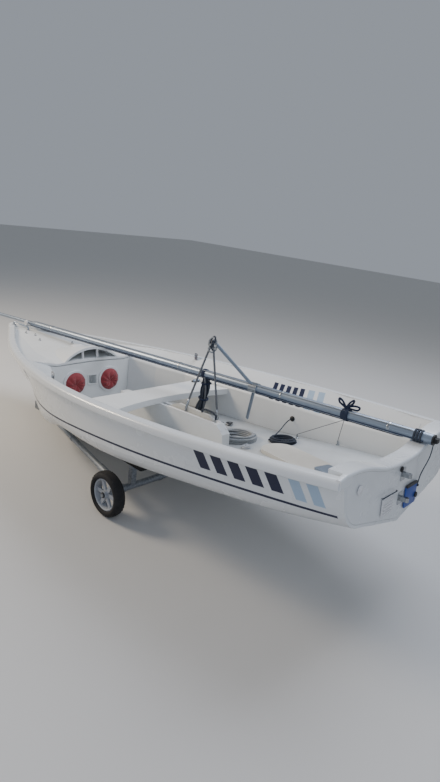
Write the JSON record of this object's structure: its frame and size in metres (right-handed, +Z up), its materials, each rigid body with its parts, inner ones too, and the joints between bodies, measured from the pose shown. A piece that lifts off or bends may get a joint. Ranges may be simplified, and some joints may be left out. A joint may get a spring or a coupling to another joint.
{
  "type": "sailing dinghy on launching trolley",
  "caption": "Open sailing dinghy with its mast lowered along the boat, standing bow-down on a two-wheeled launching trolley.",
  "frame": {"origin": "on the ground under the middle of the length overall, topmast tip to the lower gudgeon, on the boat's centreline", "axes": "+X aft, +Y starboard, +Z up from the ground"},
  "size_m": [5.607, 1.68, 1.2052],
  "materials": {
    "anodised": "anodised aluminium section, dull grey",
    "black_plastic": "black moulded plastic",
    "black_rubber": "ribbed rubber pad",
    "dark_rope": "braided polyester, dark navy",
    "galvanised": "dull galvanised tube",
    "gelcoat": "off-white gelcoat, slightly weathered",
    "grey_plastic": "light grey moulded wheel centre",
    "red_cloth": "red proofed cloth",
    "rope": "braided polyester, off-white with a fleck",
    "stainless": "stainless fittings",
    "tyre": "black tyre, dusty",
    "white_plastic": "white moulded plastic"
  },
  "bodies": {
    "boat": {"axle": "galvanised", "bag_rings": "white_plastic", "bilge_pad": "black_rubber", "bilge_post": "galvanised", "centreboard_case": "gelcoat", "centreboard_head": "gelcoat", "cockpit_sole": "gelcoat", "cross_member": "galvanised", "drain_bung": "black_plastic", "foredeck": "gelcoat", "foredeck_hood": "gelcoat", "forefoot_pad": "black_rubber", "forefoot_post": "galvanised", "forward_bulkhead": "gelcoat", "forward_tank": "gelcoat", "frame_sleeves": "galvanised", "frame_tube_port": "galvanised", "frame_tube_starboard": "galvanised", "gudgeon_lower": "stainless", "gudgeon_upper": "stainless", "gunwale": "gelcoat", "hood_posts": "white_plastic", "hounds_fitting": "anodised", "hull": "gelcoat", "jib_sheet_coil": "dark_rope", "keel_pad": "black_rubber", "keel_post": "galvanised", "mainsheet_coil": "rope", "mast_heel": "black_plastic", "mast_step_box": "gelcoat", "mast_tube": "anodised", "rudder_blade": "gelcoat", "rudder_stock": "anodised", "shroud_plates": "stainless", "side_tank_port": "gelcoat", "side_tank_starboard": "gelcoat", "spinnaker_bag_port": "red_cloth", "spinnaker_bag_starboard": "red_cloth", "spreader_bracket": "stainless", "spreader_lower": "anodised", "spreader_upper": "anodised", "thwart": "gelcoat", "tiller": "anodised", "topmast": "anodised", "transom": "gelcoat", "transom_line": "dark_rope", "transom_line_knot": "dark_rope", "transom_lip": "gelcoat", "trolley_nose": "galvanised", "wheel_washers": "black_plastic"},
    "wheel_port": {"rim_port": "grey_plastic", "tyre_port": "tyre"},
    "wheel_starboard": {"rim_starboard": "grey_plastic", "tyre_starboard": "tyre"}
  },
  "joints": [
    {"name": "wheel_port_spin", "type": "hinge", "parent": "boat", "child": "wheel_port", "pos_m": [1.10679, -0.654, 0.156], "axis": [0, 1, 0], "continuous": true},
    {"name": "wheel_starboard_spin", "type": "hinge", "parent": "boat", "child": "wheel_starboard", "pos_m": [1.10679, 0.654, 0.156], "axis": [0, 1, 0], "continuous": true}
  ]
}
